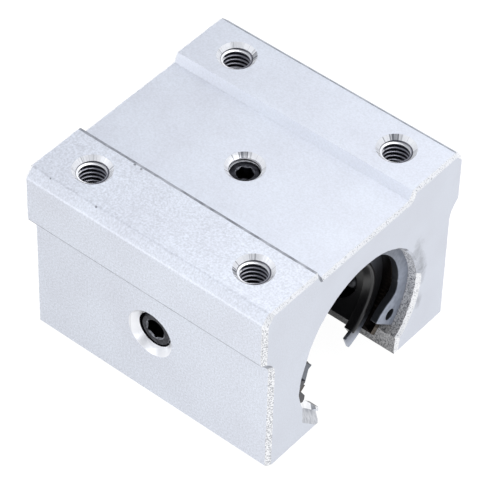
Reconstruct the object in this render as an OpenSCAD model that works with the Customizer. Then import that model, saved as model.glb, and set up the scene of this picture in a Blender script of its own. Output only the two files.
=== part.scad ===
// Open linear bearing block for a supported round shaft.
// The origin is on the shaft axis at mid-length, +X runs along the shaft and +Z towards the mounting face.
// Lengths are in millimetres and angles in degrees. Angles round the shaft run from +Y towards +Z.

/* [Shaft and bush] */
// Diameter of the shaft that the balls run on
shaft_d = 16; // [15.4:0.1:16.3]
// Radial wall of the bush, from the shaft to its outside
bush_wall = 5; // [4.8:0.1:5.5]
// Length of the bush's steel shell
bush_l = 38.5; // [36:0.5:39.5]
// Angle that the slot in the bush spans
slot_angle = 76; // [68:1:84]
// Diameter of each ball
ball_d = 2.38; // [2.2:0.01:2.45]
// Distance from the middle of a ball circuit to each of its two rows
lane_offset = 2; // [1.9:0.05:2.1]
// How much higher the unloaded balls run than the loaded ones
return_lift = 0.9; // [0.7:0.05:1]
// Radial room between the shaft and the plastic cage
cage_room = 0.35; // [0.25:0.05:0.5]

/* [Seals and end rings] */
// Depth of the end ring's outer face below the end of the shell
ring_inset = 1.75; // [1.4:0.05:2]
// Thickness of the end ring
ring_t = 0.6; // [0.4:0.05:0.8]
// Depth of the end ring's groove in the shell
ring_groove_depth = 0.4; // [0.3:0.05:0.5]
// Radial wall of the rubber lip inside the end ring
lip_wall = 0.9; // [0.7:0.05:1.1]
// How far the lip stands out of the end ring's outer face
lip_stand = 0.6; // [0.3:0.05:0.8]
// Thickness of the rubber flange behind the end ring
seal_flange_t = 0.45; // [0.3:0.05:0.6]
// Half of the gap in the end rings and seals
ring_gap_half_angle = 35; // [32:1:38]
// How far the end rings and seals have turned in their grooves
ring_turn_angle = -14.5; // [-16:0.5:0]

/* [Retaining rings] */
// Thickness of each retaining ring
clip_t = 1.2; // [1:0.05:1.3]
// Depth of its groove in the bore of the block
clip_groove_depth = 0.6; // [0.4:0.05:0.8]
// Radial width of the retaining ring
clip_w = 2.35; // [2.1:0.05:2.6]
// Radius of the rounded lug at each end of the ring
lug_r = 2.9; // [2.7:0.05:3]
// Depth of the lug's centre below the bore of the block
lug_depth = 1.9; // [1.7:0.05:2]
// Diameter of the tool hole in each lug
lug_hole_d = 2; // [1.6:0.1:2.2]
// Radius of the blend from ring to lug
lug_blend_r = 4; // [3.5:0.1:4.5]
// Angle from the middle of the ring's gap to each tool hole
lug_angle = 66.5; // [64:0.5:70]
// Half of the gap between the two lugs
clip_gap_half_angle = 58; // [56:0.5:60]
// How far the front retaining ring has turned in its groove
front_clip_turn_angle = -8.5; // [-9:0.5:0]

/* [Block] */
// Length of the block along the shaft
block_l = 45; // [44.4:0.1:50]
// Metal on each side of the bore
side_wall = 7.7; // [7.2:0.1:8.2]
// How far the mounting flange stands out from each side
flange_stand = 1.8; // [1.6:0.1:3.8]
// Metal between the bore and the mounting face
roof_h = 7; // [6.6:0.1:9]
// Depth of the legs below the shaft axis
leg_drop = 13; // [12.6:0.1:13.4]
// Height of the flange's straight sides below the mounting face
flange_h = 9.5; // [8.5:0.1:10.5]
// Radius of the flange's lower edge
step_lip_r = 0.6; // [0.4:0.1:0.8]
// Radius of the hollow between the flange's slope and the body
step_root_r = 3; // [2:0.1:3.5]
// Angle that the flange's slope makes with its side
step_angle = 45; // [40:1:50]
// Bevel along the two long top edges
top_bevel = 1.5; // [1:0.1:2]
// Radius of the long bottom edges
foot_edge_r = 0.5; // [0.3:0.1:0.8]
// Bevel round the end faces
end_bevel = 0.7; // [0.4:0.05:0.9]
// Chamfer at each end of the bore
bore_chamfer = 0.7; // [0.4:0.05:0.9]
// Width of the opening between the legs
leg_opening = 18; // [17:0.1:18.6]
// Width of the shallow groove along the mounting face
groove_w = 21.5; // [20:0.1:23]
// Depth of the groove
groove_depth = 1.5; // [1:0.1:2]
// How much each wall of the groove leans outwards
groove_lean = 0.75; // [0.4:0.05:1]

/* [Threaded holes] */
// Distance between the mounting holes along the shaft
hole_pitch_x = 30; // [28:0.5:31]
// Distance between the mounting holes across the shaft
hole_pitch_y = 32; // [31:0.5:33]
// Thread diameter of the mounting holes and the top set screw
thread_d = 5; // [4.6:0.1:5.4]
// Depth of the mounting holes' threads
hole_depth = 12; // [9:0.5:12.5]
// Bevel round the mouths of the threaded holes
mouth_bevel = 0.55; // [0.3:0.05:0.7]
// Thread diameter of the side set screw
side_thread_d = 6; // [5.6:0.1:6.4]
// Bevel round the mouth of the side screw's hole
side_mouth_bevel = 1.1; // [0.6:0.1:1.2]

/* [Set screws] */
// Depth of the top screw's end below the groove
top_recess = 1.3; // [0.8:0.1:1.6]
// Depth of the side screw's end below the side face
side_recess = 1.1; // [0.8:0.1:1.4]
// Width across the flats of the top screw's socket
top_socket_w = 2.5; // [2:0.1:2.8]
// Width across the flats of the side screw's socket
side_socket_w = 3; // [2.5:0.1:3.4]
// Depth of the top screw's socket
top_socket_depth = 2.2; // [1.6:0.1:2.4]
// Depth of the side screw's socket
side_socket_depth = 3; // [2:0.1:3.4]
// Diameter of the top screw's dog point
dog_d = 3.2; // [2.8:0.1:3.4]
// Length of the dog point that enters the shell
dog_entry = 0.8; // [0.6:0.05:1]

/* [Hidden] */
$fn = 96;

// One overrun serves every cut
cut_over = 1;
half_share = 0.5;
arc_step_angle = 6;

// Clearances
shell_fit = 0.02;
ball_fit = 0.01;
ball_gap = 0.03;
channel_room = 0.05;
cage_fit = 0.08;
ring_fit = 0.03;
clip_fit = 0.04;
screw_fit = 0.05;
seat_gap = 0.3;
dog_room = 0.4;
lip_fit = 0.05;

// Radii and stations of the bush, each station measured from mid-length
shaft_r = shaft_d / 2;
bore_r = shaft_r + bush_wall;
shell_r = bore_r - shell_fit;
ball_r = ball_d / 2;
load_r = shaft_r + ball_fit + ball_r;
race_r = load_r + ball_r + ball_fit;
return_r = load_r + return_lift;
cage_inner_r = shaft_r + cage_room;
cage_outer_r = race_r - cage_fit;
lip_r = shaft_r + lip_fit;
lip_outer_r = lip_r + lip_wall;
mouth_wall = 1.8;
mouth_r = bore_r - mouth_wall;
ring_seat_r = mouth_r + ring_groove_depth;
flange_seat_r = race_r + ring_groove_depth;
bush_end = bush_l / 2;
ring_out = bush_end - ring_inset;
ring_in = ring_out - ring_t;
flange_in = ring_in - ring_fit - seal_flange_t;
cage_end = flange_in - ring_fit;
shell_bevel = 0.4;

// Ball circuits, spread evenly over the closed part of the bush
circuits = 4;
slot_middle = -90;
circuit_span = (360 - slot_angle) / circuits;
load_sign = [-1, 1, -1, 1];
ball_pitch = ball_d + ball_gap;
channel_r = ball_r + channel_room;
cage_end_wall = 0.85;
row_room = cage_end - cage_end_wall - lane_offset - channel_r;
row_steps = floor(2 * row_room / ball_pitch);
row_half = row_steps * ball_pitch / 2;
load_h = sqrt(load_r * load_r - lane_offset * lane_offset);
return_h = sqrt(return_r * return_r - lane_offset * lane_offset);

// Stations of the retaining rings
clip_in = bush_end + clip_fit;
clip_out = clip_in + clip_t;
clip_seat_r = bore_r + clip_groove_depth;
clip_r = clip_seat_r - clip_fit;
clip_inner_r = clip_r - clip_w;
lug_centre_r = bore_r - lug_depth;
lug_hole_share = 0.15;
lug_hole_r = lug_centre_r + lug_hole_d * lug_hole_share;

// Section of the block
body_w = 2 * (bore_r + side_wall);
block_w = body_w + 2 * flange_stand;
face_height = bore_r + roof_h;
step_top = face_height - flange_h;
step_rounds = step_lip_r + step_root_r;
step_slope_w = flange_stand - step_rounds * (1 - cos(step_angle));
step_bottom = step_top - step_rounds * sin(step_angle) - step_slope_w / tan(step_angle);
groove_floor = face_height - groove_depth;
drill_point_share = 0.6;

// Seats and edges of the set screws
lead_share = 0.1;
screw_bevel_share = 0.08;
top_screw_z = groove_floor - top_recess;
side_face = body_w / 2;
side_screw_y = side_face - side_recess;
dog_tip_z = shell_r - dog_entry;
dog_pocket_z = dog_tip_z - seat_gap;
dog_shoulder_z = bore_r + seat_gap;
side_tip_y = shell_r + seat_gap;

function polar(radius, angle) = [radius * cos(angle), radius * sin(angle)];

// Turns what is drawn round or along Z to run round or along X
module along_x() {
    rotate([90, 0, 90]) children();
}

// Copies a piece to both ends of the block
module both_ends() {
    children();
    mirror([1, 0, 0]) children();
}

// Flat wedge with its point on the shaft axis, for gaps and slots
module wedge(middle, half_angle) {
    reach = block_w;
    polygon([
        [0, 0],
        polar(reach, middle - half_angle),
        polar(reach, middle),
        polar(reach, middle + half_angle)
    ]);
}

// Long cut along X with the wedge's section
module wedge_cut(middle, half_angle) {
    along_x() linear_extrude(height = block_l + 2 * cut_over, center = true) wedge(middle, half_angle);
}

// Cylinder along X between two stations
module x_rod(radius, from_x, to_x) {
    translate([from_x, 0, 0]) along_x() cylinder(r = radius, h = to_x - from_x);
}

// Points along an arc, both ends included
function arc(centre, radius, from_angle, to_angle) =
    let (turn = to_angle - from_angle, steps = ceil(abs(turn) / arc_step_angle))
    [for (step = [0:steps]) centre + polar(radius, from_angle + turn * step / steps)];

function backwards(points) = [for (index = [len(points) - 1:-1:0]) points[index]];

// Outline of the block seen along the shaft, before the bore is made
module block_outline() {
    half = concat(
        [[groove_w / 2 - groove_lean, groove_floor], [groove_w / 2, face_height]],
        [[block_w / 2 - top_bevel, face_height], [block_w / 2, face_height - top_bevel]],
        arc([block_w / 2 - step_lip_r, step_top], step_lip_r, 0, -step_angle),
        arc([body_w / 2 + step_root_r, step_bottom], step_root_r, 180 - step_angle, 180),
        arc([body_w / 2 - foot_edge_r, foot_edge_r - leg_drop], foot_edge_r, 0, -90),
        [[leg_opening / 2, -leg_drop], [leg_opening / 2, 0]]
    );
    other_half = [for (point = backwards(half)) [-point[0], point[1]]];
    polygon(concat(half, other_half));
}

// Square bar on its corner, which bevels an edge that it is centred on
module bevel_bar(length) {
    side = end_bevel * sqrt(2);
    rotate([0, 0, 45]) cube([side, side, length], center = true);
}

module end_bevels() {
    both_ends() {
        for (edge_z = [face_height, -leg_drop])
            translate([block_l / 2, 0, edge_z]) rotate([90, 0, 0]) bevel_bar(block_w + 2 * cut_over);
        for (side = [-1, 1]) {
            translate([block_l / 2, side * block_w / 2, face_height]) bevel_bar(2 * (flange_h + step_lip_r));
            translate([block_l / 2, side * body_w / 2, -leg_drop])
                bevel_bar(2 * (step_bottom + leg_drop));
        }
    }
}

// Round hole down from a face at height 0, with a bevelled mouth
module threaded_hole(diameter, bevel, depth) {
    translate([0, 0, -depth]) cylinder(d = diameter, h = depth + cut_over);
    mouth = diameter / 2 + bevel;
    translate([0, 0, -bevel]) cylinder(r1 = diameter / 2, r2 = mouth, h = bevel);
    cylinder(r = mouth, h = cut_over);
}

module drilled_point(diameter, depth) {
    point_h = diameter / 2 * drill_point_share;
    translate([0, 0, -depth - point_h]) cylinder(r1 = 0, r2 = diameter / 2, h = point_h);
}

module mounting_holes() {
    for (side_x = [-1, 1], side_y = [-1, 1])
        translate([side_x * hole_pitch_x / 2, side_y * hole_pitch_y / 2, face_height]) {
            threaded_hole(thread_d, mouth_bevel, hole_depth);
            drilled_point(thread_d, hole_depth);
        }
}

module housing() {
    color([0.86, 0.88, 0.92]) difference() {
        along_x() linear_extrude(height = block_l, center = true) block_outline();
        end_bevels();
        x_rod(bore_r, -block_l / 2 - cut_over, block_l / 2 + cut_over);
        both_ends() {
            x_rod(clip_seat_r, clip_in - clip_fit / 2, clip_out + clip_fit / 2);
            translate([block_l / 2 - bore_chamfer, 0, 0]) along_x()
                cylinder(r1 = bore_r, r2 = bore_r + bore_chamfer, h = bore_chamfer);
        }
        mounting_holes();
        translate([0, 0, groove_floor]) threaded_hole(thread_d, mouth_bevel, groove_floor);
        translate([0, -side_face, 0]) rotate([90, 0, 0])
            threaded_hole(side_thread_d, side_mouth_bevel, side_face);
    }
}

// Socket with six flats, a bevelled mouth and a drilled bottom, sunk from height 0 inside a rim
module hex_socket(width, depth, rim_r) {
    corner_r = width / sqrt(3);
    lead = min(width * lead_share, (rim_r - corner_r) * half_share);
    translate([0, 0, -depth]) cylinder(r = corner_r, h = depth + cut_over, $fn = 6);
    translate([0, 0, -lead]) cylinder(r1 = width / 2, r2 = corner_r + lead, h = lead);
    cylinder(r = corner_r + lead, h = cut_over);
    translate([0, 0, -depth - width / 2 * drill_point_share])
        cylinder(r1 = 0, r2 = width / 2, h = width / 2 * drill_point_share);
}

// Headless screw that hangs from its socketed end at height 0, threaded part only
module screw_body(diameter, length, socket_w, socket_depth) {
    radius = diameter / 2 - screw_fit;
    bevel = diameter * screw_bevel_share;
    difference() {
        union() {
            translate([0, 0, -bevel]) cylinder(r1 = radius, r2 = radius - bevel, h = bevel);
            translate([0, 0, bevel - length]) cylinder(r = radius, h = length - 2 * bevel);
            translate([0, 0, -length]) cylinder(r1 = radius - bevel, r2 = radius, h = bevel);
        }
        hex_socket(socket_w, socket_depth, radius - bevel);
    }
}

module top_set_screw() {
    color([0.13, 0.13, 0.14]) {
        translate([0, 0, top_screw_z])
            screw_body(thread_d, top_screw_z - dog_shoulder_z, top_socket_w, top_socket_depth);
        translate([0, 0, dog_tip_z]) cylinder(d = dog_d, h = dog_shoulder_z - dog_tip_z);
    }
}

module side_set_screw() {
    color([0.13, 0.13, 0.14]) translate([0, -side_screw_y, 0]) rotate([90, 0, 0])
        screw_body(side_thread_d, side_screw_y - side_tip_y, side_socket_w, side_socket_depth);
}

// Flat form of a retaining ring, with the middle of its gap towards +X
module clip_outline() {
    blend_centre_r = clip_inner_r - lug_blend_r;
    lug_span = lug_blend_r + lug_r;
    blend_turn = acos((blend_centre_r * blend_centre_r + lug_centre_r * lug_centre_r
        - lug_span * lug_span) / (2 * blend_centre_r * lug_centre_r));
    blend_angle = lug_angle + blend_turn;
    lug_centre = polar(lug_centre_r, lug_angle);
    blend_centre = polar(blend_centre_r, blend_angle);
    end_turn = lug_angle - clip_gap_half_angle;
    end_aside = lug_centre_r * sin(end_turn);
    end_r = lug_centre_r * cos(end_turn) - sqrt(lug_r * lug_r - end_aside * end_aside);
    end_point = polar(end_r, clip_gap_half_angle);
    from_lug = blend_centre - lug_centre;
    to_end = end_point - lug_centre;
    half = concat(
        [polar(clip_r, clip_gap_half_angle)],
        arc(lug_centre, lug_r, atan2(to_end[1], to_end[0]), atan2(from_lug[1], from_lug[0])),
        arc(blend_centre, lug_blend_r, atan2(-from_lug[1], -from_lug[0]), blend_angle),
        arc([0, 0], clip_inner_r, blend_angle, 180)
    );
    other_half = [for (point = backwards(half)) [point[0], -point[1]]];
    rim = arc([0, 0], clip_r, 360 - clip_gap_half_angle, clip_gap_half_angle);
    difference() {
        polygon(concat(half, other_half, rim));
        for (side = [-1, 1]) translate(polar(lug_hole_r, side * lug_angle)) circle(d = lug_hole_d);
    }
}

module circlip(turn_angle) {
    color([0.62, 0.65, 0.70]) translate([clip_in, 0, 0])
        rotate([slot_middle + turn_angle, 0, 0]) along_x() linear_extrude(height = clip_t) clip_outline();
}

module front_circlip() {
    circlip(front_clip_turn_angle);
}

module rear_circlip() {
    mirror([1, 0, 0]) circlip(0);
}

// Carries a circuit's own axes to its place: +Y out from the shaft, +Z towards the next circuit
module at_circuit(index) {
    rotate([slot_middle + slot_angle / 2 + (index - half_share) * circuit_span, 0, 0]) children();
}

// Half-round end of a circuit's channel, with the post that the balls turn round
module turn_pocket() {
    pocket_r = lane_offset + channel_r;
    intersection() {
        difference() {
            rotate([-90, 0, 0]) cylinder(r = pocket_r, h = return_h + channel_r);
            rotate([-90, 0, 0]) cylinder(r = lane_offset - channel_r, h = shell_r);
        }
        translate([0, 0, -pocket_r - cut_over])
            cube([pocket_r + cut_over, shell_r, 2 * (pocket_r + cut_over)]);
    }
}

module circuit_channel(index) {
    at_circuit(index) {
        translate([0, return_h, -load_sign[index - 1] * lane_offset]) x_rod(channel_r, -row_half, row_half);
        both_ends() translate([row_half, 0, 0]) turn_pocket();
    }
}

module load_slot(index) {
    at_circuit(index) translate([0, load_h, load_sign[index - 1] * lane_offset])
        x_rod(channel_r, -row_half, row_half);
}

// Section of the shell, as radius and station
module shell_section() {
    half = [
        [shell_r, bush_end - shell_bevel],
        [shell_r - shell_bevel, bush_end],
        [mouth_r, bush_end],
        [mouth_r, ring_out + ring_fit],
        [ring_seat_r, ring_out + ring_fit],
        [ring_seat_r, ring_in - ring_fit],
        [flange_seat_r, ring_in - ring_fit],
        [flange_seat_r, cage_end],
        [race_r, cage_end]
    ];
    polygon(concat(half, [for (point = backwards(half)) [point[0], -point[1]]]));
}

module bush_shell() {
    color([0.42, 0.40, 0.38]) difference() {
        along_x() rotate_extrude() shell_section();
        wedge_cut(slot_middle, slot_angle / 2);
        for (index = [1:circuits]) circuit_channel(index);
        translate([0, 0, dog_pocket_z]) cylinder(r = dog_d / 2 + dog_room, h = bore_r);
    }
}

module ball_cage() {
    color([0.09, 0.09, 0.10]) difference() {
        x_rod(cage_outer_r, -cage_end, cage_end);
        x_rod(cage_inner_r, -cage_end - cut_over, cage_end + cut_over);
        wedge_cut(slot_middle, slot_angle / 2);
        for (index = [1:circuits]) {
            circuit_channel(index);
            load_slot(index);
        }
    }
}

module end_ring() {
    color([0.55, 0.56, 0.58]) difference() {
        x_rod(ring_seat_r - ring_fit, ring_in, ring_out);
        x_rod(lip_outer_r + ring_fit, ring_in - cut_over, ring_out + cut_over);
        wedge_cut(slot_middle + ring_turn_angle, ring_gap_half_angle);
    }
}

module seal() {
    color([0.07, 0.07, 0.08]) difference() {
        union() {
            x_rod(flange_seat_r - ring_fit, flange_in, ring_in - ring_fit);
            x_rod(lip_outer_r, flange_in, ring_out + lip_stand);
        }
        x_rod(lip_r, flange_in - cut_over, ring_out + lip_stand + cut_over);
        wedge_cut(slot_middle + ring_turn_angle, ring_gap_half_angle);
    }
}

module loaded_balls(index) {
    color([0.80, 0.81, 0.83]) at_circuit(index)
        for (step = [0:row_steps])
            translate([step * ball_pitch - row_half, load_h, load_sign[index - 1] * lane_offset])
                sphere(r = ball_r);
}

// The unloaded row, with the ball that is turning back at each end
module return_balls(index) {
    color([0.80, 0.81, 0.83]) at_circuit(index) {
        for (step = [0:row_steps])
            translate([step * ball_pitch - row_half, return_h, -load_sign[index - 1] * lane_offset])
                sphere(r = ball_r);
        both_ends() translate([row_half + lane_offset, (load_h + return_h) / 2, 0]) sphere(r = ball_r);
    }
}

housing();
top_set_screw();
side_set_screw();
front_circlip();
rear_circlip();
bush_shell();
ball_cage();
seal();  // front_seal
mirror([1, 0, 0]) seal();  // rear_seal
end_ring();  // front_end_ring
mirror([1, 0, 0]) end_ring();  // rear_end_ring
loaded_balls(1);  // loaded_balls_1
loaded_balls(2);  // loaded_balls_2
loaded_balls(3);  // loaded_balls_3
loaded_balls(4);  // loaded_balls_4
return_balls(1);  // return_balls_1
return_balls(2);  // return_balls_2
return_balls(3);  // return_balls_3
return_balls(4);  // return_balls_4
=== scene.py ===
from math import acos, atan2, ceil, copysign, cos, degrees, hypot, pi, radians, sin, sqrt, tan
import bmesh
import bpy
from mathutils import Matrix, Quaternion, Vector, noise


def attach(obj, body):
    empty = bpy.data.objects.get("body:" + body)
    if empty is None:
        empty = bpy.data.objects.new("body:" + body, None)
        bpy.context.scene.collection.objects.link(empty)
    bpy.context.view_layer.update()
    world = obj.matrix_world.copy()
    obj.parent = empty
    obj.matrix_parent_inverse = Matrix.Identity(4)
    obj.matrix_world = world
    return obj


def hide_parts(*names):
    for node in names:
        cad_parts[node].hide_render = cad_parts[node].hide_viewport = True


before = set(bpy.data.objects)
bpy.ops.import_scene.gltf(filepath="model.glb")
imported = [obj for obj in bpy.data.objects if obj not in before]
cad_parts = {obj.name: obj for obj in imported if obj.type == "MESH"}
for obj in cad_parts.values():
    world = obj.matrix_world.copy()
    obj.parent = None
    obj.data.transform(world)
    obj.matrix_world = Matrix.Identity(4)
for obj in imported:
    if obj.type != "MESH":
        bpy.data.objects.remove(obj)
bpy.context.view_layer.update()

# Camera: a long lens from above the front left corner. The mounting face, the face with the
# side screw and one end face all show, almost without perspective.
MM = 0.001
camera_azimuth = radians(-51.22)
camera_elevation = radians(45.60)
camera_roll = radians(1.69)
camera_distance = 468.4 * MM
camera_target = Vector((-0.24, -0.37, 3.50)) * MM
camera_lens = 239.3
sensor_width = 36
level_reach = cos(camera_elevation)
to_camera = Vector((level_reach * cos(camera_azimuth), level_reach * sin(camera_azimuth), sin(camera_elevation)))
camera_data = bpy.data.cameras.new("camera")
camera_data.lens = camera_lens
camera_data.sensor_width = sensor_width
camera_data.clip_start = 10 * MM
camera_data.clip_end = 10
camera = bpy.data.objects.new("camera", camera_data)
camera.rotation_mode = "QUATERNION"
camera.rotation_quaternion = to_camera.to_track_quat("Z", "Y") @ Quaternion((0, 0, 1), camera_roll)
camera.location = camera_target + to_camera * camera_distance
bpy.context.scene.collection.objects.link(camera)
bpy.context.scene.camera = camera


# Floor and light: an opal light table under an even white sky, which leaves almost no shadow.
# Softboxes behind the left shoulder, low in front and behind on the right draw the glints.
def linear(code):
    """An sRGB hex value as the linear colour that a shader takes."""
    shares = [int(code[at:at + 2], 16) / 255 for at in (0, 2, 4)]
    return [s / 12.92 if s <= 0.04045 else ((s + 0.055) / 1.055) ** 2.4 for s in shares] + [1]


def add(material, kind, inputs, stops=(), **settings):
    """A shader node with its settings. An input is a value or a socket, a stop is a place and a colour."""
    node = material.node_tree.nodes.new("ShaderNode" + kind)
    for name, value in settings.items():
        setattr(node, name, value)
    for name, value in inputs.items():
        if isinstance(value, bpy.types.NodeSocket):
            material.node_tree.links.new(value, node.inputs[name])
        else:
            node.inputs[name].default_value = value
    for at, (position, code) in enumerate(stops):
        elements = node.color_ramp.elements
        stop = elements[at] if at < 2 else elements.new(position)
        stop.position = position
        stop.color = linear(code)
    return node


def new_material(name):
    """An empty material, and the place of each point in the object's own metres."""
    material = bpy.data.materials.new(name)
    material.use_nodes = True
    material.node_tree.nodes.clear()
    return material, add(material, "TexCoord", {}).outputs["Object"]


def surface(material, **inputs):
    """Closes a material with its shader. Underscores in an input's name stand for spaces."""
    values = {name.replace("_", " "): value for name, value in inputs.items()}
    shader = add(material, "BsdfPrincipled", values)
    add(material, "OutputMaterial", {"Surface": shader.outputs["BSDF"]})
    return material


leg_bottom = -13.0
floor_size = 4000.0
floor_mesh = bmesh.new()
bmesh.ops.create_grid(floor_mesh, x_segments=1, y_segments=1, size=floor_size / 2 * MM)
bmesh.ops.translate(floor_mesh, verts=floor_mesh.verts, vec=(0, 0, leg_bottom * MM))
floor_data = bpy.data.meshes.new("floor")
floor_mesh.to_mesh(floor_data)
floor_mesh.free()
floor = bpy.data.objects.new("floor", floor_data)
bpy.context.scene.collection.objects.link(floor)
opal, opal_place = new_material("opal_acrylic_table")
floor_data.materials.append(surface(opal, Base_Color=linear("606060"), Roughness=0.9,
                                    Emission_Color=linear("FFFFFF"), Emission_Strength=0.97))

# The sky is dimmer round the camera, as the photographer's own shape is in a studio
sky_strength = 0.80
world = bpy.data.worlds.new("white_studio")
world.use_nodes = True
sky_place = add(world, "TexCoord", {}).outputs["Generated"]
facing = add(world, "VectorMath", {0: sky_place, 1: to_camera}, operation="DOT_PRODUCT")
sky = add(world, "ValToRGB", {"Fac": facing.outputs["Value"]}, stops=[(0.93, "F8FAFF"), (0.975, "5E6066")])
background = world.node_tree.nodes["Background"]
world.node_tree.links.new(sky.outputs["Color"], background.inputs["Color"])
background.inputs["Strength"].default_value = sky_strength
bpy.context.scene.world = world
bpy.context.scene.view_settings.view_transform = "Standard"

# Each lamp: azimuth and elevation in degrees, distance and side in millimetres, then watts
lamps = {
    "softbox_left": (-117, 14, 420, 220, 0.42),
    "softbox_right": (37, 26, 420, 160, 0.01),
    "softbox_low": (-57, 14, 420, 100, 0.08),
    "overhead": (60, 72, 400, 300, 0.90),
}
for lamp_name, (azimuth, elevation, distance, side, watts) in lamps.items():
    lamp_data = bpy.data.lights.new(lamp_name, "AREA")
    lamp_data.size = side * MM
    lamp_data.energy = watts
    lamp = bpy.data.objects.new(lamp_name, lamp_data)
    level = cos(radians(elevation))
    away = Vector((level * cos(radians(azimuth)), level * sin(radians(azimuth)), sin(radians(elevation))))
    lamp.location = away * distance * MM
    lamp.rotation_mode = "QUATERNION"
    lamp.rotation_quaternion = away.to_track_quat("Z", "Y")
    bpy.context.scene.collection.objects.link(lamp)


# Housing: one length of extruded aluminium, bored and grooved for the bush, bead-blasted and
# clear anodised. The end bevels, hole mouths and threads are cut, so they are brighter.
def polar(radius, degrees_round, centre=(0, 0)):
    angle = radians(degrees_round)
    return (centre[0] + radius * cos(angle), centre[1] + radius * sin(angle))


def arc(centre, radius, start, stop, step=4):
    """Points along an arc in the plane across the shaft, both ends included."""
    pieces = max(1, ceil(abs(stop - start) / step))
    return [polar(radius, start + (stop - start) * at / pieces, centre) for at in range(pieces + 1)]


def rounded(corners, step=11):
    """Points through corners given as Y, Z and radius. The first and the last stay as they are."""
    points = [corners[0][:2]]
    for before, (y, z, radius), after in zip(corners, corners[1:], corners[2:]):
        if radius == 0:
            points.append((y, z))
            continue
        to_before = Vector((before[0] - y, before[1] - z)).normalized()
        to_after = Vector((after[0] - y, after[1] - z)).normalized()
        half_angle = to_before.angle(to_after) / 2
        centre = Vector((y, z)) + (to_before + to_after).normalized() * radius / sin(half_angle)
        start = Vector((y, z)) + to_before * radius / tan(half_angle) - centre
        turn = degrees(start.angle_signed(Vector((y, z)) + to_after * radius / tan(half_angle) - centre))
        start_angle = degrees(atan2(start.y, start.x))
        points += arc(tuple(centre), radius, start_angle, start_angle - turn, step)
    return points + [corners[-1][:2]]


def spaced(points, gap):
    """The closed outline with its long straight stretches divided to about the gap."""
    result = []
    for here, there in zip(points, points[1:] + points[:1]):
        pieces = max(1, int(hypot(there[0] - here[0], there[1] - here[1]) / gap))
        for at in range(pieces):
            share = at / pieces
            result.append((here[0] + (there[0] - here[0]) * share, here[1] + (there[1] - here[1]) * share))
    return result


def prism(bm, outline, start, length):
    """An outline in Y and Z, drawn out along X."""
    face = bm.faces.new([bm.verts.new((start, y, z)) for y, z in outline])
    drawn = bmesh.ops.extrude_face_region(bm, geom=[face], use_keep_orig=True)["geom"]
    far = [item for item in drawn if isinstance(item, bmesh.types.BMVert)]
    bmesh.ops.translate(bm, verts=far, vec=(length, 0, 0))
    bmesh.ops.recalc_face_normals(bm, faces=bm.faces)


def turned(bm, section, steps=96):
    """A closed turned body about Z, from its half section as radius and height."""
    points = [bm.verts.new((radius, 0, height)) for radius, height in section]
    lines = [bm.edges.new(pair) for pair in zip(points, points[1:])]
    bmesh.ops.spin(bm, geom=points + lines, cent=(0, 0, 0), axis=(0, 0, 1), angle=2 * pi,
                   steps=steps, use_merge=True)
    bmesh.ops.remove_doubles(bm, verts=bm.verts, dist=1e-5)


def helix(bm, root, crest, pitch, low, high, steps=48):
    """A threaded body about Z between two heights, from one tooth's line spun and shifted."""
    flat = pitch / 8
    teeth = ceil((high - low) / pitch) + 2
    tooth = [(root, 0), (root, 2 * flat), (crest, pitch / 2), (crest, pitch / 2 + flat)]
    line = [(radius, low - pitch + pitch * turn + rise) for turn in range(teeth) for radius, rise in tooth]
    points = [bm.verts.new((radius, 0, height)) for radius, height in line]
    lines = [bm.edges.new(pair) for pair in zip(points, points[1:])]
    bmesh.ops.spin(bm, geom=points + lines, cent=(0, 0, 0), axis=(0, 0, 1), dvec=(0, 0, pitch / steps),
                   angle=2 * pi, steps=steps)
    bmesh.ops.remove_doubles(bm, verts=bm.verts, dist=1e-4)
    for height, normal in ((low, (0, 0, -1)), (high, (0, 0, 1))):
        everything = bm.verts[:] + bm.edges[:] + bm.faces[:]
        bmesh.ops.bisect_plane(bm, geom=everything, plane_co=(0, 0, height), plane_no=normal, clear_outer=True)
        rim = [edge for edge in bm.edges if edge.is_boundary
               and all(abs(vert.co.z - height) < 1e-5 for vert in edge.verts)]
        bmesh.ops.edgeloop_fill(bm, edges=rim)
    bmesh.ops.recalc_face_normals(bm, faces=bm.faces)


def merge(bm, other, transform):
    """Copies one mesh into another at its place, and frees it."""
    bmesh.ops.transform(other, matrix=transform, verts=other.verts)
    scratch = bpy.data.meshes.new("scratch")
    other.to_mesh(scratch)
    other.free()
    bm.from_mesh(scratch)
    bpy.data.meshes.remove(scratch)


def piece(name, bm, *materials):
    """The finished object, brought from millimetres to metres."""
    bmesh.ops.recalc_face_normals(bm, faces=bm.faces)
    bmesh.ops.scale(bm, vec=(MM, MM, MM), verts=bm.verts)
    data = bpy.data.meshes.new(name)
    bm.to_mesh(data)
    bm.free()
    for material in materials:
        data.materials.append(material)
    thing = bpy.data.objects.new(name, data)
    bpy.context.scene.collection.objects.link(thing)
    return thing


def settle(thing):
    """Replaces an object's mesh by what its modifiers make of it."""
    shown = thing.evaluated_get(bpy.context.evaluated_depsgraph_get())
    old = thing.data
    thing.data = bpy.data.meshes.new_from_object(shown)
    thing.modifiers.clear()
    bpy.data.meshes.remove(old)


def combine(thing, tool, operation="DIFFERENCE"):
    """Cuts a tool's shape out of an object, adds it or keeps what both share. The tool goes."""
    modifier = thing.modifiers.new("cut", "BOOLEAN")
    modifier.operation = operation
    modifier.solver = "EXACT"
    modifier.material_mode = "TRANSFER"
    modifier.object = tool
    settle(thing)
    bpy.data.objects.remove(tool)


def smooth(thing, sharp_above=32):
    """Smooth shading that keeps the real edges and leaves flat faces flat."""
    thing.data.polygons.foreach_set("use_smooth", [True] * len(thing.data.polygons))
    thing.data.set_sharp_from_angle(angle=radians(sharp_above))
    modifier = thing.modifiers.new("flat_faces", "WEIGHTED_NORMAL")
    modifier.keep_sharp = True
    settle(thing)


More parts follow.
